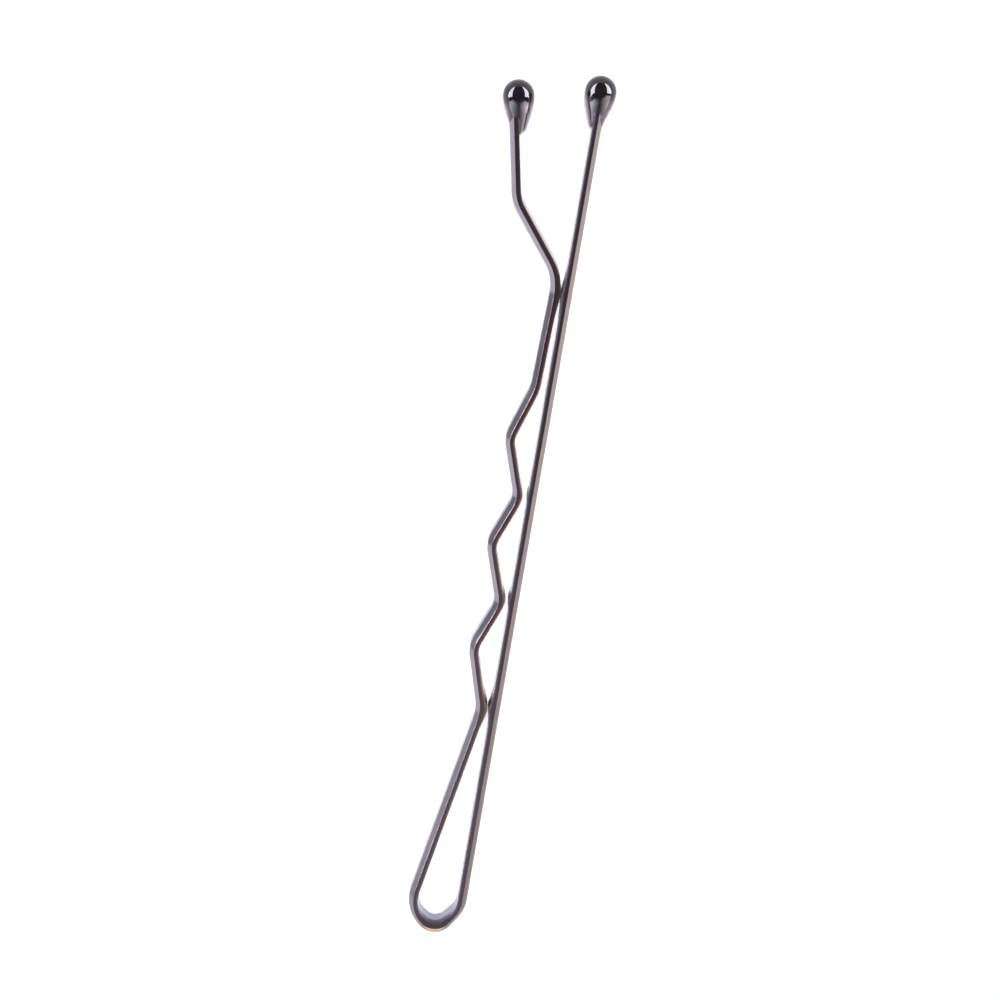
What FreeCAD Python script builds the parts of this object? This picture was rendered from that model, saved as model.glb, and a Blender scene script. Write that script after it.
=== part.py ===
import FreeCAD, Part
import math
import os

from FreeCAD import Matrix, Placement, Rotation, Vector

# A bobby pin: flat spring wire folded at a round bend, one leg straight, one leg crimped,
# each wire end dipped into a drop of enamel. All sizes are in millimetres.
# The pin lies on its side: X runs along the straight leg to the tips, Y from the straight leg
# to the wavy leg, Z across the width of the wire. X starts at the middle of the bend's eye,
# Y at the middle of the straight leg's wire. Heights of the wavy leg are to the middle of its wire.

# Wire, flat on the gripping side and bevelled on the outside
wire_width = 1.45
wire_thickness = 0.50
shoulder_depth = 0.24
shoulder_width = 0.38
gripping_edge = 0.05

# Spring bend: a heel off the straight leg, a flank, a round eye and an easier brow onto the wavy leg
heel_radius = 1.90
heel_turn = 33.0
heel_length = 1.00
flank_length = 0.63
eye_radius = 0.90
eye_turn = 103.0
brow_run = 0.19
brow_radius = 2.06
brow_length = 1.20

# Wavy leg: a run down from the brow, crimps that stand off the straight leg, a run to the nip,
# a flare and a stem. Each length is measured on from the bend before it.
first_dip_reach = 12.427
first_dip_radius = 2.80
crimp_count = 3
crimp_lead = 3.69
crimp_pitch = 6.175
crimp_height = 1.742
crimp_radius = 1.60
dip_share = 0.472
dip_gap = 0.36
last_dip_lead = 3.49
last_dip_radius = 3.00
nip_lead = 4.95
nip_gap = 0.23
nip_radius = 2.90
flare_lead = 5.66
flare_height = 3.727
flare_radius = 2.20
stem_length = 4.635
stem_rise = 0.948

# Straight leg: its wire ends this far beyond the wavy leg's
straight_tip_lead = 0.952

# Enamel drops: a ball that swells over the wire end and tapers back along the wire
drop_diameter = 1.69
drop_width = 1.96
drop_belly_radius = 2.80
drop_taper = 20.0
drop_tail = 1.87
drop_lip_radius = 0.07
straight_drop_offset = 0.10
wavy_drop_offset = 0.28

up = Vector(0, 0, 1)


# A bend is a centre and a radius: positive where the wire turns left, negative where it turns right.
# A plain point of the path is a bend of no radius.

def point(x, y):
    return Vector(x, y, 0), 0.0


def dip(x, gap, radius):
    return Vector(x, wire_thickness + gap + radius, 0), radius


def crest(x, height, radius):
    return Vector(x, height - radius, 0), -radius


def heading_along(heading):
    return Vector(math.cos(heading), math.sin(heading), 0)


def heading_left(heading):
    return Vector(-math.sin(heading), math.cos(heading), 0)


def tangent(first, second):
    """The straight run that leaves one bend and enters the next: its two ends and its heading."""
    between = second[0] - first[0]
    swing = math.asin((second[1] - first[1]) / between.Length)
    heading = math.atan2(between.y, between.x) - swing
    left = heading_left(heading)
    return first[0] - left * first[1], second[0] - left * second[1], heading


def section(place, heading):
    """The wire's cross-section, its gripping face to the right of the path."""
    half_thick = wire_thickness / 2
    half_wide = wire_width / 2
    turn_in = gripping_edge * (1 - math.sqrt(0.5))
    crown = Vector(0, half_thick, half_wide - shoulder_width)
    ridge = Vector(0, half_thick - shoulder_depth, half_wide)
    round_start = Vector(0, gripping_edge - half_thick, half_wide)
    round_middle = Vector(0, turn_in - half_thick, half_wide - turn_in)
    round_end = Vector(0, -half_thick, half_wide - gripping_edge)

    def far(corner):
        return Vector(0, corner.y, -corner.z)

    face = Part.Face(Part.Wire([
        Part.makeLine(far(crown), crown),
        Part.makeLine(crown, ridge),
        Part.makeLine(ridge, round_start),
        Part.Arc(round_start, round_middle, round_end).toShape(),
        Part.makeLine(round_end, far(round_end)),
        Part.Arc(far(round_end), far(round_middle), far(round_start)).toShape(),
        Part.makeLine(far(round_start), far(ridge)),
        Part.makeLine(far(ridge), far(crown)),
    ]))
    face.Placement = Placement(place, Rotation(up, math.degrees(heading)))
    return face


def strip(bends):
    """Flat wire along a path of bends joined by straight runs."""
    pieces = []
    for before, after in zip(bends, bends[1:]):
        start, end, heading = tangent(before, after)
        if pieces:
            turn = math.degrees(math.remainder(heading - last_heading, 2 * math.pi))
            pieces.append(section(last_end, last_heading).revolve(before[0], up, turn))
        pieces.append(section(start, heading).extrude(end - start))
        last_end, last_heading = end, heading
    wire = pieces[0].fuse(pieces[1:]) if len(pieces) > 1 else pieces[0]
    return wire.removeSplitter().Solids[0]


def drop():
    """An enamel drop with its ball at the origin and its tail pointing to -X."""
    ball = drop_diameter / 2
    taper = math.radians(drop_taper)

    def belly(angle):
        outwards = Vector(-math.sin(angle), math.cos(angle), 0)
        return Vector(0, ball - drop_belly_radius, 0) + outwards * drop_belly_radius

    shoulder = belly(taper)
    tail_radius = shoulder.y - (drop_tail + shoulder.x) * math.tan(taper)
    corner = Vector(-drop_tail, tail_radius, 0)
    along = Vector(math.cos(taper), math.sin(taper), 0)
    inward = Vector(0, -1, 0)
    bisector = (along + inward).normalize()
    half_corner = math.radians(90 + drop_taper) / 2
    setback = drop_lip_radius / math.tan(half_corner)
    lip_centre = corner + bisector * (drop_lip_radius / math.sin(half_corner))
    lip_start = corner + along * setback
    lip_end = corner + inward * setback
    pole = Vector(ball, 0, 0)
    tail_middle = Vector(-drop_tail, 0, 0)
    profile = [
        Part.Arc(pole, Vector(ball * math.sqrt(0.5), ball * math.sqrt(0.5), 0), belly(0)).toShape(),
        Part.Arc(belly(0), belly(taper / 2), shoulder).toShape(),
        Part.makeLine(shoulder, lip_start),
        Part.Arc(lip_start, lip_centre - bisector * drop_lip_radius, lip_end).toShape(),
        Part.makeLine(lip_end, tail_middle),
        Part.makeLine(tail_middle, pole),
    ]
    turned = Part.Face(Part.Wire(profile)).revolve(Vector(0, 0, 0), Vector(1, 0, 0), 360)
    widen = Matrix()
    widen.scale(1, 1, drop_width / drop_diameter)
    return turned.transformGeometry(widen)


def drop_on(leg, end, heading, left_shift):
    """The drop on a wire end, hanging to one side of it, with a pocket for the wire."""
    bead = drop()
    bead.Placement = Placement(end + heading_left(heading) * left_shift, Rotation(up, math.degrees(heading)))
    return bead.cut(leg).Solids[0]


# Path of the wire, from the straight leg round the bend to the wavy leg.
# The eye's centre lies above the start of X, and the heel is set back from it to touch the straight leg.
flank_heading = math.radians(180 - heel_turn)
brow_heading = flank_heading - math.radians(eye_turn)
flank_left = heading_left(flank_heading)
brow_left = heading_left(brow_heading)
heel_to_eye = flank_left * (heel_radius - eye_radius) + heading_along(flank_heading) * flank_length
heel = Vector(-heel_to_eye.x, heel_radius, 0), -heel_radius
eye = heel[0] + heel_to_eye, -eye_radius
brow_centre = eye[0] + heading_along(brow_heading) * brow_run + brow_left * (eye_radius - brow_radius)
brow = brow_centre, -brow_radius
toe = dip(first_dip_reach, dip_gap, first_dip_radius)
crimp_places = [first_dip_reach + crimp_lead + number * crimp_pitch for number in range(crimp_count)]
crimps = [crest(crimp_places[0], crimp_height, crimp_radius)]
for before, place in zip(crimp_places, crimp_places[1:]):
    crimps.append(dip(before + dip_share * crimp_pitch, dip_gap, crimp_radius))
    crimps.append(crest(place, crimp_height, crimp_radius))
last_dip = crimp_places[-1] + last_dip_lead
run = dip(last_dip, dip_gap, last_dip_radius)
nip = last_dip + nip_lead
grip = dip(nip, nip_gap, nip_radius)
flare = nip + flare_lead
stem = crest(flare, flare_height, flare_radius)
wavy_end = point(flare + stem_length, flare_height + stem_rise)
straight_end = point(wavy_end[0].x + straight_tip_lead, 0)

# The bend meets the legs on straight runs, where nothing curves
bend_from = point(heel[0].x + heel_length, 0)
brow_exit, _, run_heading = tangent(brow, toe)
bend_to = brow_exit + heading_along(run_heading) * brow_length, 0.0

# The edge of the drop parts the straight leg's free outer face from the end that the drop covers
drop_edge = point(straight_end[0].x - drop_tail, 0)
straight_leg = strip([straight_end, drop_edge]).fuse(strip([drop_edge, bend_from])).Solids[0]
spring_bend = strip([bend_from, heel, eye, brow, bend_to])
wavy_leg = strip([bend_to, toe] + crimps + [run, grip, stem, wavy_end])
_, _, stem_heading = tangent(stem, wavy_end)

nodes = {
    "straight_leg": straight_leg,
    "spring_bend": spring_bend,
    "wavy_leg": wavy_leg,
    "straight_leg_tip": drop_on(straight_leg, straight_end[0], 0, straight_drop_offset),
    "wavy_leg_tip": drop_on(wavy_leg, wavy_end[0], stem_heading, -wavy_drop_offset),
}

# The pin stands on its lowest points, with its footprint centred on the origin
box = Part.makeCompound(list(nodes.values())).optimalBoundingBox(False)
to_origin = Vector(-box.Center.x, -box.Center.y, -box.ZMin)

os.makedirs("parts", exist_ok=True)
for name, solid in nodes.items():
    placed = solid.translated(to_origin)
    placed.exportStep(f"parts/{name}.step")
    print(f"{name}: {placed.Volume:.4f} mm3, {len(placed.Faces)} faces, valid {placed.isValid()}")

free_flat = (bend_from[0].x + drop_edge[0].x) / 2
print("size", [round(length, 4) for length in (box.XLength, box.YLength, box.ZLength)])
print("bend axis", eye[0] + to_origin)
print("middle of the straight leg's outer face", Vector(free_flat, -wire_thickness / 2, 0) + to_origin)
print("nip", Vector(nip, (wire_thickness + nip_gap) / 2, 0) + to_origin)
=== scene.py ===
import math

import bmesh
import bpy
from mathutils import Matrix, Vector


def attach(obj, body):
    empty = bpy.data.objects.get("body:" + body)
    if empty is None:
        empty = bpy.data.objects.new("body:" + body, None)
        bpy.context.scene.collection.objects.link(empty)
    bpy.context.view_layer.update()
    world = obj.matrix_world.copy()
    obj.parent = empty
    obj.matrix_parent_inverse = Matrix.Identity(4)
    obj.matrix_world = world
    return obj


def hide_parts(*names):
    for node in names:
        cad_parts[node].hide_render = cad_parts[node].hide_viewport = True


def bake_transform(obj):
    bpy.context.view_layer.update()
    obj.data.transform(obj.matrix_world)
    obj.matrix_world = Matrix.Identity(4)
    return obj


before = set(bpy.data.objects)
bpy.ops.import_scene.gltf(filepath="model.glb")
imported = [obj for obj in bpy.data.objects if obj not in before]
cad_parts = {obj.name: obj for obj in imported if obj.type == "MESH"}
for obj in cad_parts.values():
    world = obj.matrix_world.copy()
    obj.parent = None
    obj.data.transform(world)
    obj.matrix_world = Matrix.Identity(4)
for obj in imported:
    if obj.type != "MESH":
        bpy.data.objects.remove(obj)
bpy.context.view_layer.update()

mm = 0.001
place = Vector((-23.9245, -2.250102, 0.98))  # mm, the wire's zero: below the eye, in the straight leg
upwards = Vector((0, 0, 1))


def toLinear(hexColour):
    channels = [int(hexColour[i:i + 2], 16) / 255 for i in (1, 3, 5)]
    return [c / 12.92 if c <= 0.04045 else ((c + 0.055) / 1.055) ** 2.4 for c in channels] + [1.0]


def addNode(tree, kind, links=None, **settings):
    node = tree.nodes.new(kind)
    for name, value in settings.items():
        setattr(node, name, value)
    for socket, value in (links or {}).items():
        if isinstance(value, bpy.types.NodeSocket):
            tree.links.new(value, node.inputs[socket])
        else:
            node.inputs[socket].default_value = value
    return node


def newMaterial(name):
    material = bpy.data.materials.new(name)
    material.use_nodes = True
    material.node_tree.nodes.clear()
    return material, material.node_tree


def skinRings(bm, rings):  # smooth faces between rings that have the same number of corners
    for a, b in zip(rings, rings[1:]):
        for j in range(len(a)):
            k = (j + 1) % len(a)
            bm.faces.new((a[j], a[k], b[k], b[j])).smooth = True


def meshObject(name, bm, finish):  # hand a finished mesh to the scene
    mesh = bpy.data.meshes.new(name)
    bm.to_mesh(mesh)
    bm.free()
    mesh.materials.append(finish)
    obj = bpy.data.objects.new(name, mesh)
    bpy.context.collection.objects.link(obj)
    return obj


# Stoved lacquer on flat-rolled spring steel: on the flats the film is thin and the metal under it mirrors
# the room, warm on the straight leg, cooler past the bend, and greyer on some runs by their heading, as
# painted shade.
# The wire's narrow sides, the upper gripping face, the narrow gaps and the inside of the eye are painted a
# brown-black gloss as shade. A pale gold is painted on as a highlight, on the tool's flat in the eye and
# along some ridges.
lacquer = {
    "colours": {
        "warm": "#978b87",
        "warmLow": "#7c726f",
        "mauve": "#99929e",
        # painted shade: the greyer colour of some runs of the wavy leg, chosen by their heading
        "runShade": "#5e5b66",
        "uneven": "#857a84",
        # painted highlight, pale gold
        "glint": "#d2b48c",
        # painted shade: brown-black, non-metallic, on the narrow sides, the upper gripping face, the gaps
        # and the eye; greyer near the eye
        "sideShade": "#31272a",
        "sideShadeNearEye": "#50454b",
        # painted shade, darkest inside the eye
        "eyeShadeDark": "#0f0e14",
        "edgeCool": "#6a6579",
        "edgeBrown": "#866858",
        "edgeDark": "#483834",
        "gripCool": "#8b8ca1",
        "gripBrown": "#978a84",
    },
    "lowerLeg": (12.0, 44.0),     # mm along the wire from the straight leg's tip, warm to warmLow
    "pastEye": (49.5, 53.5),      # mm along the wire, on to mauve
    "wavySide": (53.0, 57.0),     # mm along the wire, the cool edge and grip to the brown ones
    "pastBrow": (63.0, 68.0),     # mm along the wire, where the painted run shade is full
    "browShare": 0.55,            # how much of it there is before that
    "bendAt": 52.0,               # mm along the wire, the bottom of the eye
    "nearBend": (40.0, 4.0),      # mm from the bottom of the eye, the painted side shade greyer towards it
    "brownEnds": (29.0, 37.0),    # mm from the bottom of the eye, where the wavy leg's brown edge gives out
    "towardsGrip": (-0.12, -0.25),  # mm outwards from the middle of the wire, the edge's own tint
    "patches": (0.5, 0.75),       # levels of the uneven film's noise
    "patchShare": 0.5,
    "glintLevels": (0.25, 0.6),   # levels of the painted pale-gold highlight
    "dullPatches": (0.3, 0.7),    # levels of the noise, from the gloss to the duller film
    "patchSize": 3.0,             # mm, uneven film
    "drawLine": 0.035,            # mm between rolling lines, coarser than real so that they show
    "drawLength": 4.0,            # mm
    "drawDepth": 0.0006,          # mm
    "drawShow": 0.5,
    "roughness": (0.12, 0.20),
    "shadedSideRoughness": 0.30,
    "shadedSideGloss": 0.14,           # dull gloss of the faces painted as shade
}
filmMarks = ("gripSide", "sideShadeMark", "runShadeMark", "glintMark", "eyeShadeMark")


def lacqueredSteel():
    material, tree = newMaterial("stoved lacquer on spring steel")
    along = addNode(tree, "ShaderNodeAttribute", attribute_name="wirePlace").outputs["Vector"]
    grip, sideShade, runShade, glint, pool = [
        addNode(tree, "ShaderNodeAttribute", attribute_name=mark).outputs["Fac"] for mark in filmMarks]
    noise = addNode(tree, "ShaderNodeTexNoise", {"Vector": along, "Scale": 1 / lacquer["patchSize"],
                    "Detail": 4.0, "Roughness": 0.6}).outputs["Fac"]
    lineScale = (1 / lacquer["drawLength"], 1 / lacquer["drawLine"], 1 / lacquer["drawLine"])
    stretched = addNode(tree, "ShaderNodeVectorMath", {0: along, 1: lineScale}, operation="MULTIPLY")
    lines = addNode(tree, "ShaderNodeTexNoise", {"Vector": stretched.outputs[0], "Scale": 1.0,
                    "Detail": 2.0}).outputs["Fac"]
    where = addNode(tree, "ShaderNodeSeparateXYZ", {0: along})
    length, outwards = where.outputs["X"], where.outputs["Y"]
    fromBend = addNode(tree, "ShaderNodeMath", {0: length, 1: lacquer["bendAt"]}, operation="SUBTRACT")
    fromBend = addNode(tree, "ShaderNodeMath", {0: fromBend.outputs[0]}, operation="ABSOLUTE").outputs[0]

    shares = {}
    for name, value, bottom, top in (
            ("lowerLeg", length, 0.0, 1.0),
            ("pastEye", length, 0.0, 1.0),
            ("wavySide", length, 0.0, 1.0),
            ("pastBrow", length, lacquer["browShare"], 1.0),
            ("nearBend", fromBend, 0.0, 1.0),
            ("brownEnds", fromBend, 0.0, 1.0),
            ("towardsGrip", outwards, 0.0, 1.0),
            ("patches", noise, 0.0, lacquer["patchShare"]),
            ("glintLevels", glint, 0.0, 1.0),
            ("dullPatches", noise, *lacquer["roughness"])):
        low, high = lacquer[name]
        levels = {"Value": value, "From Min": low, "From Max": high, "To Min": bottom, "To Max": top}
        share = addNode(tree, "ShaderNodeMapRange", levels, interpolation_type="SMOOTHSTEP")
        shares[name] = share.outputs[0]
    # painted shade on the runs by their heading
    runShadeLevel = addNode(tree, "ShaderNodeMath", {0: runShade, 1: shares["pastBrow"]}, operation="MULTIPLY")

    colours = {name: toLinear(value) for name, value in lacquer["colours"].items()}
    for name, share, under, over in (  # each layer is laid over what is there by then
            ("film", shares["lowerLeg"], "warm", "warmLow"),
            ("film", shares["pastEye"], "film", "mauve"),
            ("film", runShadeLevel.outputs[0], "film", "runShade"),
            ("film", shares["patches"], "film", "uneven"),
            # painted highlight, pale gold, on the ridge line and the tool's flat
            ("film", shares["glintLevels"], "film", "glint"),
            ("gripFace", shares["wavySide"], "gripCool", "gripBrown"),
            ("flats", grip, "film", "gripFace"),
            ("sides", shares["nearBend"], "sideShade", "sideShadeNearEye"),
            ("brown", shares["brownEnds"], "edgeBrown", "edgeDark"),
            ("edge", shares["wavySide"], "edgeCool", "brown"),
            ("sides", shares["towardsGrip"], "sides", "edge"),
            # painted shade laid over the flats
            ("whole", sideShade, "flats", "sides"),
            ("whole", pool, "whole", "eyeShadeDark")):
        layer = {"Factor": share, 6: colours[under], 7: colours[over]}
        colours[name] = addNode(tree, "ShaderNodeMix", layer, data_type="RGBA").outputs[2]

    bare = addNode(tree, "ShaderNodeMath", {0: 1.0, 1: sideShade}, operation="SUBTRACT")
    rough = addNode(tree, "ShaderNodeMix", {"Factor": sideShade, 2: shares["dullPatches"],
                    3: lacquer["shadedSideRoughness"]})
    bump = addNode(tree, "ShaderNodeBump", {"Height": lines, "Strength": lacquer["drawShow"],
                   "Distance": lacquer["drawDepth"] * mm})
    surface = addNode(tree, "ShaderNodeBsdfPrincipled", {
        "Base Color": colours["whole"], "Metallic": bare.outputs[0], "Roughness": rough.outputs[0],
        "Normal": bump.outputs[0], "Specular IOR Level": lacquer["shadedSideGloss"]})
    addNode(tree, "ShaderNodeOutputMaterial", {"Surface": surface.outputs[0]})
    return material


# Dipped enamel: it ran wet over the wire end and set as a hanging drop, so it is smooth as glass
# and mirrors the lamps with hard edges, black where the room is dark. Towards its tail, on both sides of
# the
# wire, a painted reflection: the enamel takes the lacquered steel's metallic sheen, so that it mirrors the
# pale floor.
enamel = {
    "black": "#1a151e",
    "thin": "#261d22",
    "sheen": "#99929e",
    "flowSize": 1.2,         # mm, slow waves in the set film
    "flowDepth": 0.004,      # mm
    "flowShow": 0.3,
    "flowLevels": (0.3, 0.7),
    "roughness": (0.02, 0.045),
    "density": 1.5,          # refractive index of the pigmented film
}


def dippedEnamel():
    material, tree = newMaterial("dipped black enamel")
    coords = addNode(tree, "ShaderNodeTexCoord")
    sheenShare = addNode(tree, "ShaderNodeAttribute", attribute_name="paintedSheen").outputs["Fac"]
    waves = addNode(tree, "ShaderNodeTexNoise", {"Vector": coords.outputs["Object"],
                    "Scale": 1 / (enamel["flowSize"] * mm), "Detail": 2.0}).outputs["Fac"]
    colour = toLinear(enamel["black"])
    # painted reflection: the tail's sides take the steel's sheen
    for share, over in ((waves, "thin"), (sheenShare, "sheen")):
        layer = {"Factor": share, 6: colour, 7: toLinear(enamel[over])}
        colour = addNode(tree, "ShaderNodeMix", layer, data_type="RGBA").outputs[2]
    low, high = enamel["flowLevels"]
    smooth, dull = enamel["roughness"]
    rough = addNode(tree, "ShaderNodeMapRange", {"Value": waves, "From Min": low, "From Max": high,
                    "To Min": smooth, "To Max": dull})
    bump = addNode(tree, "ShaderNodeBump", {"Height": waves, "Strength": enamel["flowShow"],
                   "Distance": enamel["flowDepth"] * mm})
    surface = addNode(tree, "ShaderNodeBsdfPrincipled", {
        "Base Color": colour, "IOR": enamel["density"], "Metallic": sheenShare,
        "Roughness": rough.outputs[0], "Normal": bump.outputs[0]})
    addNode(tree, "ShaderNodeOutputMaterial", {"Surface": surface.outputs[0]})
    return material


lacquerFinish = lacqueredSteel()
enamelFinish = dippedEnamel()
print("finishes made")


# The wire, in mm: flat on its gripping side, bevelled on its outside
wire = {
    "width": 1.45,
    "thickness": 0.50,
    "shoulderDepth": 0.24,   # flat bevel on the outside, steep to the floor
    "shoulderWidth": 0.38,
    "shoulderBulge": 0.012,
    "shoulderRows": (0.25, 0.4, 0.55, 0.7, 0.85),  # shares of the way down the bevel
    "crownRadius": 0.10,
    "crownSteps": 4,
    "ridgeRadius": 0.018,
    "ridgeSteps": 5,
    "gripEdge": 0.03,
    "gripSteps": 6,
    "gripShade": ((0.8, 0.65), (0.55, 0.35), (0.25, 0.12)),  # share of the half width, strength of the painted side shade
    "farEdge": 0.02,         # the corner on the floor's side has no painted side shade
    "squeeze": 0.05,         # a bend squeezes its inside wider and draws its outside in
    "poolReach": 1.7,        # along the wire, painted shade inside the bend's eye: a dark mound on the gripping side
    "eyeShadeHeight": 0.16,
    "eyeShadeFill": 2.0,         # how fast it is at its darkest
    "eyeShadeDark": (0.0, 0.6),  # shares of the gripping face, from its middle to its upper edge
    "eyeShadeCorner": 0.9,       # share at which the corner starts
    "eyeShadeEdge": 0.6,         # what is left of it round the corner
    "scarReach": 1.1,        # flat pressed into the shoulder by the bending tool
    "scarDepth": 0.10,
    "scarFade": 0.2,         # down the side below the ridge
    "shadeFromHeading": 3.0,        # degrees of heading, from the light runs to those painted greyer as shade
    "shadeOverHeading": -4.5,
    "ridgeLine": 0.012,      # half height of the line along the ridge
    "ridgeGlint": (0.33, 0.385),  # painted highlight along that line on the shaded runs, before and past the first dip
    "stepRun": 0.5,          # between rings on a straight run
    "stepFine": 0.1,         # between rings where the dark fill painted as shade stands
    "stepTurn": 3.0,         # degrees between rings in a bend
}

springBend = {
    "heelRadius": 1.90,
    "heelTurn": 33.0,
    "heelLength": 1.00,
    "flankLength": 0.63,
    "eyeRadius": 0.90,
    "eyeTurn": 103.0,
    "browRun": 0.19,
    "browRadius": 2.06,
    "browLength": 1.20,
}

wavyLeg = {
    "firstDip": 12.427,
    "firstDipRadius": 2.80,
    "crimps": 3,
    "crimpLead": 3.69,
    "crimpPitch": 6.175,
    "crimpHeight": 1.742,
    "crimpRadius": 1.60,
    "dipShare": 0.472,
    "dipGap": 0.36,
    "lastDipLead": 3.49,
    "lastDipRadius": 3.00,
    "nipLead": 4.95,
    "nipGap": 0.23,
    "nipRadius": 2.90,
    "flareLead": 5.66,
    "flareHeight": 3.727,
    "flareRadius": 2.20,
    "stemLength": 4.635,
    "stemRise": 0.948,
    "straightTipLead": 0.952,
}

# Painted shade in the narrow places between the legs: a dark fill standing proud there, split down the
# middle
gapShade = {
    "split": 0.012,                    # mm left open on each side, so that the legs part
    "reach": (1.5, 0.6, 0.5, 1.9),     # mm from the middle of each, along the leg
    "hollow": (2.4, 1.2, 1.2, 2.0),    # how fast its face curves away
    "ahead": (0.28, 0.15, 0.1, 0.0),   # mm towards the tips from the dip's own middle
    "fill": (1.0, 0.62, 0.3, 1.0),     # how much of the gap it takes up
    "film": 3.0,                       # how fast its painted shade deepens towards the middle
}


# Bends are (x, y, radius): radius positive to the left, negative to the right, 0 at an end

def dip(x, gap, radius):
    return x, wire["thickness"] + gap + radius, radius


def crest(x, height, radius):
    return x, height - radius, -radius


def onwards(heading):
    return Vector((math.cos(heading), math.sin(heading)))


def sideways(heading):  # to the left of a heading
    return Vector((-math.sin(heading), math.cos(heading)))


def runBetween(first, second):  # the straight run from one bend to the next: its ends and heading
    start, end = Vector(first[:2]), Vector(second[:2])
    gap = end - start
    heading = math.atan2(gap.y, gap.x) - math.asin((second[2] - first[2]) / gap.length)
    left = sideways(heading)
    return start - left * first[2], end - left * second[2], heading


def wireLine(bends):  # rings along the wire: place, heading, bend per mm, length so far
    rings, travelled, lastHeading = [], 0.0, None
    for before, after in zip(bends, bends[1:]):
        start, end, heading = runBetween(before, after)
        if lastHeading is not None:
            turn = math.remainder(heading - lastHeading, 2 * math.pi)
            count = max(2, round(abs(math.degrees(turn)) / wire["stepTurn"]))
            for i in range(1, count):
                now = lastHeading + turn * i / count
                here = Vector(before[:2]) - sideways(now) * before[2]
                rings.append((here, now, 1 / before[2], travelled + abs(turn * before[2]) * i / count))
            travelled += abs(turn * before[2])
        length = (end - start).length
        along = 0.0
        while along < length:
            spot = start.lerp(end, along / length)
            rings.append((spot, heading, 0.0, travelled + along))
            nearGapShade = any(abs(spot.x - x) < reach + wire["stepRun"] for x, reach, *shape in gapShadePlaces)
            along += wire["stepFine"] if nearGapShade else wire["stepRun"]
        rings.append((end, heading, 0.0, travelled + length))
        travelled += length
        lastHeading = heading
    return rings


def wireSection():  # ring of (outwards, across, rub, film), film the share of the painted side shade; the gripping face flat and the outside bevelled
    half, wide = wire["thickness"] / 2, wire["width"] / 2
    crown = Vector((half, wide - wire["shoulderWidth"]))
    ridge = Vector((half - wire["shoulderDepth"], wide))
    foot = Vector((-half, wide))
    ring = []

    def turnCorner(corner, before, after, radius, steps, rub, film):  # rounded, from one side to the next
        a, b = (before - corner).normalized(), (after - corner).normalized()
        angle = a.angle(b)
        reach = radius / math.tan(angle / 2)
        start, end = corner + a * reach, corner + b * reach
        middle = corner + (a + b).normalized() * (radius / math.sin(angle / 2))
        for i in range(steps + 1):
            spot = middle + (start - middle).slerp(end - middle, i / steps) * radius
            ring.append((spot.x, spot.y, rub, film(i / steps)))

    outside, inside = Vector((half, 0)), Vector((-half, 0))
    turnCorner(crown, outside, ridge, wire["crownRadius"], wire["crownSteps"], 0.0, lambda t: 0.0)
    bulging = Vector((ridge.y - crown.y, crown.x - ridge.x)).normalized()
    for t in wire["shoulderRows"]:
        spot = crown.lerp(ridge, t) + bulging * (4 * t * (1 - t) * wire["shoulderBulge"])
        ring.append((spot.x, spot.y, 0.0, 0.0))
    turnCorner(ridge, crown, foot, wire["ridgeRadius"], wire["ridgeSteps"], 0.0, lambda t: t ** 2)
    turnCorner(foot, ridge, inside, wire["gripEdge"], wire["gripSteps"], 1.0, lambda t: 1.0)
    # painted shade down the upper gripping face
    ring += [(-half, wide * share, 1.0, film) for share, film in wire["gripShade"]]
    mirrored = [(spot[0], -spot[1], *spot[2:]) for spot in reversed(ring)]
    mirrored = [(*spot[:3], 0.0 if spot[0] < wire["farEdge"] - half else spot[3]) for spot in mirrored]
    return ring + [(-half, 0, 1.0, 0.0)] + mirrored


sectionRing = wireSection()


def mound(distance, reach):
    return max(1 - (distance / reach) ** 2, 0) ** 2


def shadeFillHeight(spot, outwards):  # how far the dark fill painted as shade, in the eye and the gaps, stands proud of the gripping side
    half = wire["thickness"] / 2
    low = half - wire["shoulderDepth"]
    if outwards > low:
        return 0.0
    share = (low - outwards) / (low + half)
    tall = wire["eyeShadeHeight"] * mound((spot - eyeFoot).length, wire["poolReach"])
    for x, reach, hollow, fill in gapShadePlaces:
        near = 1 - abs(spot.x - x) / reach
        if near > 0:
            gap = wavyHeight(x) - wire["thickness"]
            tall = max(tall, (gap / 2 - gapShade["split"]) * fill * near ** hollow)
    return tall * share * share


def gapShadeFilm(spot):  # the gap fill is painted dark as shade right across the wire
    nearest = max(max(1 - abs(spot.x - x) / reach, 0) for x, reach, *shape in gapShadePlaces)
    return min(1, gapShade["film"] * nearest ** 2)


def scarShare(outwards, across):  # the scar takes the ridge off the upper side
    half = wire["thickness"] / 2
    if across < wire["width"] / 2 - wire["shoulderWidth"]:
        return 0.0
    low = half - wire["shoulderDepth"]
    if outwards > low:
        return (half - outwards) / (half - low)
    return max(1 - (low - outwards) / wire["scarFade"], 0)


def eyeShadeShare(across):  # the painted shade lies dark along the upper edge of the gripping face
    share = across / (wire["width"] / 2)
    start, stop = wire["eyeShadeDark"]
    if share >= wire["eyeShadeCorner"]:
        return wire["eyeShadeEdge"]
    return min(max((share - start) / (stop - start), 0), 1)


def wavyHeight(x):  # middle of the wavy leg's wire above the straight leg's, near a dip
    best = min(wavyDips, key=lambda bend: abs(bend[0] - x))
    return best[1] - math.sqrt(max(best[2] ** 2 - (x - best[0]) ** 2, 0))


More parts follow.
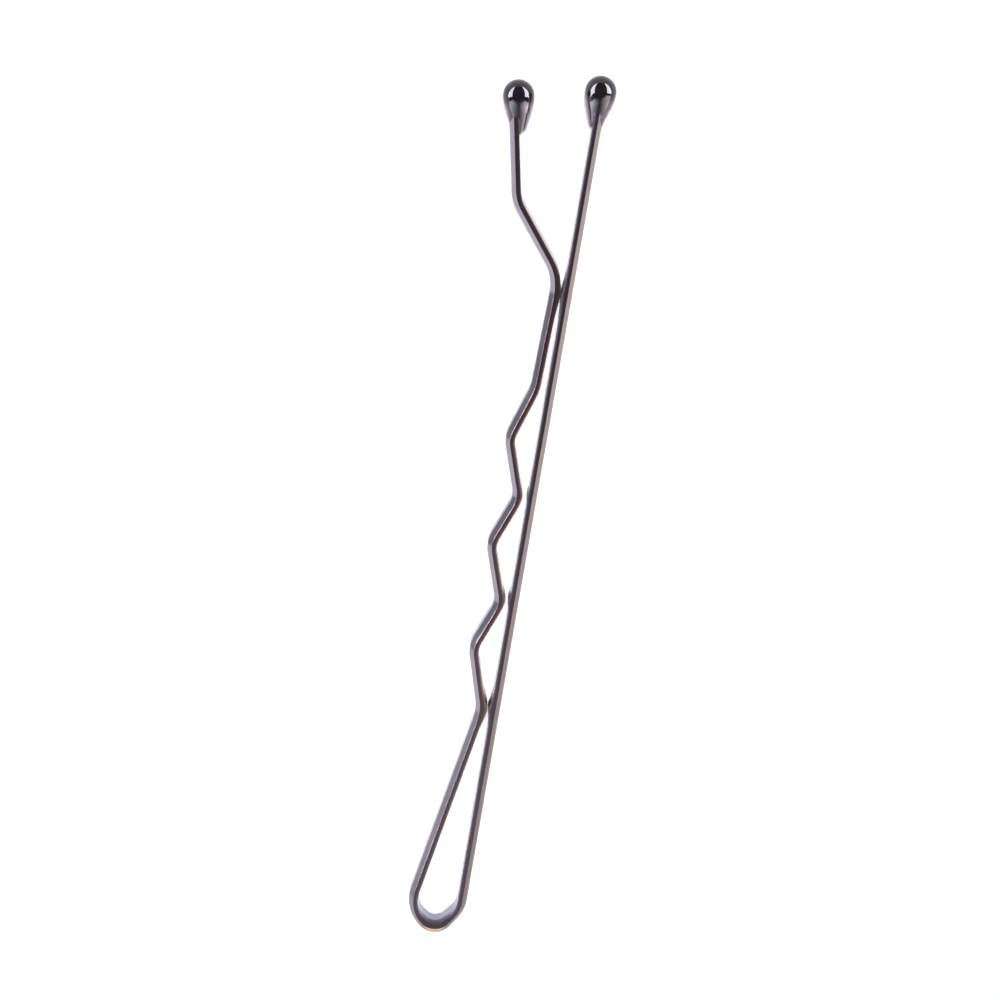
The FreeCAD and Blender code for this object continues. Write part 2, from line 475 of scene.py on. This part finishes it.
def makeWire(name, bends, lengthBefore, finish):
    rings = wireLine(bends)
    ridgeAt = wire["thickness"] / 2 - wire["shoulderDepth"]
    bm = bmesh.new()
    placeLayer = bm.verts.layers.float_vector.new("wirePlace")
    layers = {mark: bm.verts.layers.float.new(mark) for mark in filmMarks}
    columns = []
    for spot, heading, bending, travelled in rings:
        left = sideways(heading).to_3d()
        fromEye = (spot - eyeFoot).length
        scarred = mound(fromEye, wire["scarReach"])
        # painted shade inside the eye
        eyeShaded = min(1, wire["eyeShadeFill"] * mound(fromEye, wire["poolReach"]))
        # painted shade: runs heading one way are greyed
        leaning = (math.degrees(heading) - wire["shadeFromHeading"]) / wire["shadeOverHeading"]
        runShadeShare = min(max(leaning, 0), 1)
        # painted highlight along the ridge of the shaded runs
        ridgeGlintLevel = wire["ridgeGlint"][0 if spot.x < toe[0] else 1] * runShadeShare
        column = []
        for outwards, across, rub, film in sectionRing:
            swell = 1 + wire["squeeze"] * bending * outwards
            scar = scarred * scarShare(outwards, across)
            out = outwards - shadeFillHeight(spot, outwards) - scar * wire["scarDepth"]
            at = spot.to_3d() + left * out + upwards * (across * swell) + place
            vert = bm.verts.new(at * mm)
            vert[placeLayer] = Vector((lengthBefore + travelled, outwards, across))
            pool = eyeShaded * eyeShadeShare(across) * rub
            onRidge = abs(outwards - ridgeAt) < wire["ridgeLine"]
            # painted highlight: pale gold on the tool's flat and on the ridge line
            glint = max(scar, ridgeGlintLevel) if onRidge else scar
            # painted shade: the dark side colour on the narrow sides, in the gaps and in the eye
            sideShade = max(film, pool, gapShadeFilm(spot) * rub)
            for mark, level in zip(filmMarks, (rub, sideShade, runShadeShare, glint, pool)):
                vert[layers[mark]] = level
            column.append(vert)
        columns.append(column)
    skinRings(bm, columns)
    for cap in (bm.faces.new(columns[0][::-1]), bm.faces.new(columns[-1])):
        for edge in cap.edges:
            edge.smooth = False
    bmesh.ops.recalc_face_normals(bm, faces=bm.faces)
    return meshObject(name, bm, finish), rings[-1][3]


# The wavy leg's bends, each measured on from the one before
toe = dip(wavyLeg["firstDip"], wavyLeg["dipGap"], wavyLeg["firstDipRadius"])
firstCrimp = wavyLeg["firstDip"] + wavyLeg["crimpLead"]
crimpAt = [firstCrimp + i * wavyLeg["crimpPitch"] for i in range(wavyLeg["crimps"])]
crimps = [crest(crimpAt[0], wavyLeg["crimpHeight"], wavyLeg["crimpRadius"])]
for x in crimpAt[1:]:
    dipAt = x - wavyLeg["crimpPitch"] * (1 - wavyLeg["dipShare"])
    crimps.append(dip(dipAt, wavyLeg["dipGap"], wavyLeg["crimpRadius"]))
    crimps.append(crest(x, wavyLeg["crimpHeight"], wavyLeg["crimpRadius"]))
lastDip = crimpAt[-1] + wavyLeg["lastDipLead"]
nip = lastDip + wavyLeg["nipLead"]
flare = nip + wavyLeg["flareLead"]
longRun = dip(lastDip, wavyLeg["dipGap"], wavyLeg["lastDipRadius"])
grip = dip(nip, wavyLeg["nipGap"], wavyLeg["nipRadius"])
stem = crest(flare, wavyLeg["flareHeight"], wavyLeg["flareRadius"])
wavyEnd = (flare + wavyLeg["stemLength"], wavyLeg["flareHeight"] + wavyLeg["stemRise"], 0)
straightEnd = (wavyEnd[0] + wavyLeg["straightTipLead"], 0, 0)
wavyDips = [toe, crimps[1], crimps[3], longRun, grip]
gapShadePlaces = [(bend[0] + ahead, *shape) for bend, ahead, *shape in zip(
    (toe, crimps[1], crimps[3], grip), gapShade["ahead"], gapShade["reach"], gapShade["hollow"], gapShade["fill"])]

# The spring bend: heel, flank, eye and brow, with the eye above the wire's zero
flankHeading = math.radians(180 - springBend["heelTurn"])
browHeading = flankHeading - math.radians(springBend["eyeTurn"])
footHeading = flankHeading - math.radians(springBend["eyeTurn"] / 2)
heelToEye = (sideways(flankHeading) * (springBend["heelRadius"] - springBend["eyeRadius"])
             + onwards(flankHeading) * springBend["flankLength"])
heelMiddle = Vector((-heelToEye.x, springBend["heelRadius"]))
eyeMiddle = heelMiddle + heelToEye
browMiddle = (eyeMiddle + onwards(browHeading) * springBend["browRun"]
              + sideways(browHeading) * (springBend["eyeRadius"] - springBend["browRadius"]))
heel, eye, brow = [(*middle, -springBend[radius]) for middle, radius in (
    (heelMiddle, "heelRadius"), (eyeMiddle, "eyeRadius"), (browMiddle, "browRadius"))]
eyeFoot = eyeMiddle + sideways(footHeading) * springBend["eyeRadius"]
bendFrom = (heel[0] + springBend["heelLength"], 0, 0)
browExit, _, runHeading = runBetween(brow, toe)
bendTo = (*(browExit + onwards(runHeading) * springBend["browLength"]), 0)

straightLeg, straightLength = makeWire("straight_leg_wire", [straightEnd, bendFrom], 0.0, lacquerFinish)
bendWire, bendLength = makeWire(
    "spring_bend_wire", [bendFrom, heel, eye, brow, bendTo],
    straightLength, lacquerFinish)
wavyWire, wavyLength = makeWire(
    "wavy_leg_wire", [bendTo, toe] + crimps + [longRun, grip, stem, wavyEnd],
    straightLength + bendLength, lacquerFinish)
print("wire made, mm:", round(straightLength + bendLength + wavyLength, 2))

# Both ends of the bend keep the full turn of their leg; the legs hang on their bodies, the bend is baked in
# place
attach(straightLeg, "straight_side")
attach(wavyWire, "wavy_side")
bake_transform(bendWire)
for piece, node in ((straightLeg, "straight_leg"), (bendWire, "spring_bend"), (wavyWire, "wavy_leg")):
    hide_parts(node)


# Enamel drops, in mm: a ball over the wire end, its belly tapering back along the wire to a lip
# on the inner side
drops = {
    "diameter": 1.69,
    "width": 1.96,
    "bellyRadius": 2.80,
    "taper": 20.0,           # degrees
    "tail": 1.87,
    "lipRadius": 0.10,
    "backTail": 2.90,        # how far the enamel creeps back where it lies inside the wire's outline
    "creepOuter": 2.0,       # how much of that it does on the outside and on the sides
    "creepSide": 0.3,
    "film": -0.006,          # behind the drop the enamel ends inside the wire
    "straightOffset": 0.10,
    "wavyOffset": 0.28,
    "flowOuter": 0.30,       # soft run-out on the outside
    "flowInner": 0.06,
    "flowSide": 0.05,
    "sheenFrom": (0.05, 0.60),  # behind the middle of the ball, where the painted sheen sets in
    "sheenRound": 0.7,       # how far round to the sides it does
    "hub": 0.12,             # middle of the drop's rings behind the ball, inside the wire
    "hubRun": 0.4,           # over which the rings move there
    "ringStep": 0.06,        # between rings along the drop
    "lipStep": 0.008,        # between rings round the lip
    "lipLength": 0.11,
    "tailRings": 15,
    "lipRings": 14,
    "bellyRings": 31,
    "ballRings": (3, 88, 4),  # degrees from the belly to the end of the ball
    "around": 96,
}


def dropRadius(x, tail):  # half height of the drop at x from the middle of its ball
    ball, belly, taper = drops["diameter"] / 2, drops["bellyRadius"], math.radians(drops["taper"])
    if x >= 0:
        return math.sqrt(max(ball * ball - x * x, 0))
    if x >= -belly * math.sin(taper):
        radius = ball - belly + math.sqrt(belly * belly - x * x)
    else:
        shoulder = ball - belly + belly * math.cos(taper)
        radius = shoulder + (x + belly * math.sin(taper)) * math.tan(taper)
    lip = drops["lipRadius"]
    if x < lip - tail:
        inside = lip - tail - x
        radius -= lip - math.sqrt(max(lip * lip - inside * inside, 0))
    return max(radius, 0) if x >= -tail else 0.0


def wireReach(angle, hub):  # how far the wire's surface is from the hub in one direction
    parallel, slack = 1e-12, 1e-9
    ray = Vector((math.cos(angle), math.sin(angle)))
    best = 0.0
    spots = [Vector((-outwards - hub, across)) for outwards, across, rub, film in sectionRing]
    for a, b in zip(spots, spots[1:] + spots[:1]):
        edge = b - a
        det = ray.x * -edge.y + ray.y * edge.x
        if abs(det) < parallel:
            continue
        t = (a.x * -edge.y + a.y * edge.x) / det
        u = (ray.x * a.y - ray.y * a.x) / det
        if -slack <= u <= 1 + slack and t > best:
            best = t
    return best


def beadReach(angle, half, squash, aside):  # how far the drop's surface is from a hub beside its middle
    if half <= abs(aside):
        return 0.0
    c, s = math.cos(angle) / half, math.sin(angle) / (half * squash)
    back = c * aside / half
    return (back + math.sqrt(back * back + (c * c + s * s) * (1 - (aside / half) ** 2))) / (c * c + s * s)


def softMax(a, b, reach):
    near = max(reach - abs(a - b), 0) / reach
    return max(a, b) + near * near * reach / 4


def makeDrop(name, end, heading, innerSide, offset, finish):
    outward = onwards(heading).to_3d()
    inward = sideways(heading).to_3d() * innerSide
    wireEnd = Vector((end[0], end[1], 0)) + place
    ball, squash = drops["diameter"] / 2, drops["width"] / drops["diameter"]
    stations = [-drops["backTail"] + i * drops["ringStep"] for i in range(drops["tailRings"])]
    stations += [-drops["tail"] + i * drops["lipStep"] for i in range(drops["lipRings"])]
    bellyFrom = drops["lipLength"] - drops["tail"]
    stations += [bellyFrom + i * drops["ringStep"] for i in range(drops["bellyRings"])]
    stations += [ball * math.sin(math.radians(a)) for a in range(*drops["ballRings"])]
    angles = [2 * math.pi * i / drops["around"] for i in range(drops["around"])]
    inWire = min(offset, drops["hub"])
    wireAt = [wireReach(angle, inWire) for angle in angles]
    start, stop = drops["sheenFrom"]
    bm = bmesh.new()
    sheenLayer = bm.verts.layers.float.new("paintedSheen")
    rings = []
    for x in stations:
        back = min(max((-x - start) / (stop - start), 0), 1)
        hub = offset + (inWire - offset) * min(max(-x / drops["hubRun"], 0), 1)
        ring = []
        for angle, reach in zip(angles, wireAt):
            c, s = math.cos(angle), math.sin(angle)
            outer, inner = max(-c, 0) ** 2, max(c, 0) ** 2
            creep = min(1, drops["creepOuter"] * outer + drops["creepSide"] * s * s)
            tail = drops["tail"] + (drops["backTail"] - drops["tail"]) * creep
            flow = drops["flowOuter"] * outer + drops["flowInner"] * inner + drops["flowSide"] * s * s
            radius = beadReach(angle, dropRadius(x, tail), squash, offset - hub)
            if x < -drops["hubRun"]:
                radius = softMax(radius, reach + drops["film"], flow)
            spot = wireEnd + outward * x + inward * (hub + radius * c) + upwards * (radius * s)
            vert = bm.verts.new(spot * mm)
            # painted reflection: metallic sheen on the tail's sides
            vert[sheenLayer] = back * back * (3 - 2 * back) * (outer + inner) ** drops["sheenRound"]
            ring.append(vert)
        rings.append(ring)
    skinRings(bm, rings)
    pole = bm.verts.new((wireEnd + inward * offset + outward * ball) * mm)
    for a, b in zip(rings[-1], rings[-1][1:] + rings[-1][:1]):
        bm.faces.new((a, b, pole)).smooth = True
    bm.faces.new(rings[0][::-1])
    bmesh.ops.recalc_face_normals(bm, faces=bm.faces)
    return meshObject(name, bm, finish)


stemHeading = runBetween(stem, wavyEnd)[2]
straightDrop = makeDrop("straight_leg_drop", straightEnd, 0.0, 1, drops["straightOffset"], enamelFinish)
wavyDrop = makeDrop("wavy_leg_drop", wavyEnd, stemHeading, -1, drops["wavyOffset"], enamelFinish)
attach(straightDrop, "straight_side")
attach(wavyDrop, "wavy_side")
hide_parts("straight_leg_tip")
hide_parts("wavy_leg_tip")
print("drops made")


# Camera: above the pin, leaning 17 degrees towards the tips
shot = {
    "aim": (24.911, 1.626, 0.725),       # mm, from the wire's zero
    "shift": (-0.1123, 0.0600),          # mm, right and up the picture
    "right": (0.16219, -0.98677, 0),     # along the floor, to the right of the picture
    "up": (0.98677, 0.16219, 0),         # along the floor, up the picture
    "lean": 17.0,                        # degrees
    "distance": 220.86,                  # mm
    "lens": 144.66,                      # mm
    "sensor": 36.0,                      # mm
    "clip": (0.01, 20.0),                # m
}


def turnTo(obj, right, up, back):  # stand an object on the picture's own axes
    obj.rotation_mode = "QUATERNION"
    obj.rotation_quaternion = Matrix((right, up, back)).transposed().to_quaternion()


lean = math.radians(shot["lean"])
floorUp, pictureRight = Vector(shot["up"]), Vector(shot["right"])
towardsCamera = floorUp * math.sin(lean) + upwards * math.cos(lean)
pictureUp = floorUp * math.cos(lean) - upwards * math.sin(lean)
aim = (place + Vector(shot["aim"]) + pictureRight * shot["shift"][0] + pictureUp * shot["shift"][1]) * mm
cameraData = bpy.data.cameras.new("camera")
cameraData.lens = shot["lens"]
cameraData.sensor_width = shot["sensor"]
cameraData.clip_start, cameraData.clip_end = shot["clip"]
camera = bpy.data.objects.new("camera", cameraData)
camera.location = aim + towardsCamera * shot["distance"] * mm
turnTo(camera, pictureRight, pictureUp, towardsCamera)
bpy.context.collection.objects.link(camera)
bpy.context.scene.camera = camera
print("camera set")


# Light: two long softboxes left and right, a lamp beside the camera, a pale card below the picture
# and a dark room that is pale at the horizon
light = {
    "boxAcross": 0.46,           # m to each side
    "boxTall": 0.36,             # m towards the camera
    "boxSpan": (-0.06, 1.90),    # m up the picture
    "boxRadiance": 20.0,
    "boxTint": ("#ecebff", "#f3effc"),
    "keyHigh": 1.20,             # m
    "keySize": 0.12,             # m
    "keyRadiance": 300.0,
    "cardAway": 0.50,            # m down the picture
    "cardSize": (3.0, 1.55),     # m wide and tall
    "cardFade": (0.06, 0.95),    # m to each side, dark in the middle where the camera stands
    "cardTop": (1.50, 0.70),     # m above the floor, fading in downwards
    "cardRadiance": (0.3, 6.5),
    "cardTint": ("#efeaff", "#fff0f4"),
    "roomDark": 0.085,
    "roomPale": 1.0,
    "horizon": (0.22, 0.05),     # sines of the height above it, dark to pale
    "roomBack": (-0.6, -0.25),   # the far end of the room stays dark, from up the picture to down it
}


def addLamp(name, where, towards, up, size, radiance):
    data = bpy.data.lights.new(name, "AREA")
    data.shape = "RECTANGLE"
    data.size, data.size_y = size
    data.energy = radiance * math.pi * size[0] * size[1]
    obj = bpy.data.objects.new(name, data)
    obj.location = where
    back = (where - towards).normalized()
    right = up.cross(back).normalized()
    turnTo(obj, right, back.cross(right), back)
    bpy.context.collection.objects.link(obj)
    return obj


spanLow, spanHigh = light["boxSpan"]
stand = aim + pictureUp * (spanLow + spanHigh) / 2 + towardsCamera * light["boxTall"] / 2
boxSize = (light["boxTall"], spanHigh - spanLow)
for name, side, tint in zip(("left softbox", "right softbox"), (-1, 1), light["boxTint"]):
    where = stand + pictureRight * side * light["boxAcross"]
    box = addLamp(name, where, stand, pictureUp, boxSize, light["boxRadiance"])
    box.data.color = toLinear(tint)[:3]
    box.visible_diffuse = False
key = addLamp("lamp beside the camera", aim + towardsCamera * light["keyHigh"], aim, pictureUp,
              (light["keySize"], light["keySize"]), light["keyRadiance"])
key.visible_glossy = False

# Pale card: two glowing halves that fade towards its middle, seen only in the gloss
cardFinish, tree = newMaterial("glowing card")
onCard = addNode(tree, "ShaderNodeSeparateXYZ", {0: addNode(tree, "ShaderNodeTexCoord").outputs["Object"]})
aside = addNode(tree, "ShaderNodeMath", {0: onCard.outputs["X"]}, operation="ABSOLUTE")
spread = addNode(tree, "ShaderNodeMapRange", {"Value": aside.outputs[0], "From Min": light["cardFade"][0],
                 "From Max": light["cardFade"][1]})
fallen = addNode(tree, "ShaderNodeMapRange", {"Value": onCard.outputs["Y"], "From Min": light["cardTop"][0],
                 "From Max": light["cardTop"][1]}, interpolation_type="SMOOTHSTEP")
both = addNode(tree, "ShaderNodeMath", {0: spread.outputs[0], 1: fallen.outputs[0]}, operation="MULTIPLY")
glow = addNode(tree, "ShaderNodeMapRange", {"Value": both.outputs[0], "To Min": light["cardRadiance"][0],
               "To Max": light["cardRadiance"][1]})
rightHalf = addNode(tree, "ShaderNodeMath", {0: onCard.outputs["X"], 1: 0.0}, operation="GREATER_THAN")
tint = addNode(tree, "ShaderNodeMix", {"Factor": rightHalf.outputs[0], 6: toLinear(light["cardTint"][0]),
               7: toLinear(light["cardTint"][1])}, data_type="RGBA")
shine = addNode(tree, "ShaderNodeEmission", {"Color": tint.outputs[2], "Strength": glow.outputs[0]})
addNode(tree, "ShaderNodeOutputMaterial", {"Surface": shine.outputs[0]})
wide, tall = light["cardSize"]
bm = bmesh.new()
corners = ((-wide / 2, 0), (wide / 2, 0), (wide / 2, tall), (-wide / 2, tall))
bm.faces.new([bm.verts.new((x, y, 0)) for x, y in corners])
card = meshObject("pale card", bm, cardFinish)
card.location = Vector((aim.x, aim.y, 0)) - floorUp * light["cardAway"]
turnTo(card, pictureRight, upwards, -floorUp)
card.visible_camera = card.visible_diffuse = card.visible_shadow = False

# Room: dark above and at its far end, pale along the horizon, white to the eye
world = bpy.data.worlds.new("studio")
world.use_nodes = True
bpy.context.scene.world = world
tree = world.node_tree
tree.nodes.clear()
around = addNode(tree, "ShaderNodeTexCoord").outputs["Generated"]
pale = 1.0
for axis, (dark, full) in ((upwards, light["horizon"]), (-floorUp, light["roomBack"])):
    facing = addNode(tree, "ShaderNodeVectorMath", {0: around, 1: axis}, operation="DOT_PRODUCT")
    level = addNode(tree, "ShaderNodeMapRange", {"Value": facing.outputs["Value"], "From Min": dark,
                    "From Max": full}, interpolation_type="SMOOTHSTEP")
    pale = addNode(tree, "ShaderNodeMath", {0: level.outputs[0], 1: pale}, operation="MULTIPLY").outputs[0]
room = addNode(tree, "ShaderNodeMapRange", {"Value": pale, "To Min": light["roomDark"],
               "To Max": light["roomPale"]})
seen = addNode(tree, "ShaderNodeLightPath")
strength = addNode(tree, "ShaderNodeMath", {0: room.outputs[0], 1: seen.outputs["Is Camera Ray"]},
                   operation="MAXIMUM")
studio = addNode(tree, "ShaderNodeBackground", {"Color": (1, 1, 1, 1), "Strength": strength.outputs[0]})
addNode(tree, "ShaderNodeOutputWorld", {"Surface": studio.outputs[0]})

# Matt white sweep: pale paper, no gloss
sweep = {
    "pale": "#fffdff",
    "dull": "#fffafe",
    "cloud": 20.0,       # mm, faint clouds in the sheet, coarse so that they show
    "radius": 3.0,       # m
    "sides": 96,
    "below": 0.02,       # mm under the pin
    "lift": 0.12,        # brings the paper up to white for the eye and in the gloss
}
floorFinish, tree = newMaterial("matt white paper")
cloudScale = 2 * sweep["radius"] / (sweep["cloud"] * mm)
cloud = addNode(tree, "ShaderNodeTexNoise", {"Scale": cloudScale, "Detail": 3.0})
paper = addNode(tree, "ShaderNodeMix", {"Factor": cloud.outputs["Fac"], 6: toLinear(sweep["pale"]),
                7: toLinear(sweep["dull"])}, data_type="RGBA")
matt = addNode(tree, "ShaderNodeBsdfDiffuse", {"Color": paper.outputs[2]})
seen = addNode(tree, "ShaderNodeLightPath")
lift = 0.0
for kind in ("Is Camera Ray", "Is Glossy Ray", "Is Transmission Ray"):
    lift = addNode(tree, "ShaderNodeMath", {0: seen.outputs[kind], 1: sweep["lift"], 2: lift},
                   operation="MULTIPLY_ADD").outputs[0]
glow = addNode(tree, "ShaderNodeEmission", {"Color": paper.outputs[2], "Strength": lift})
white = addNode(tree, "ShaderNodeAddShader", {0: matt.outputs[0], 1: glow.outputs[0]})
addNode(tree, "ShaderNodeOutputMaterial", {"Surface": white.outputs[0]})
floorFinish.cycles.emission_sampling = "NONE"  # it is seen and mirrored, and lights nothing
bm = bmesh.new()
bmesh.ops.create_circle(bm, cap_ends=True, segments=sweep["sides"], radius=sweep["radius"])
floor = meshObject("floor", bm, floorFinish)
floor.location.z = -sweep["below"] * mm
bpy.context.scene.view_settings.view_transform = "Standard"
print("studio lit")
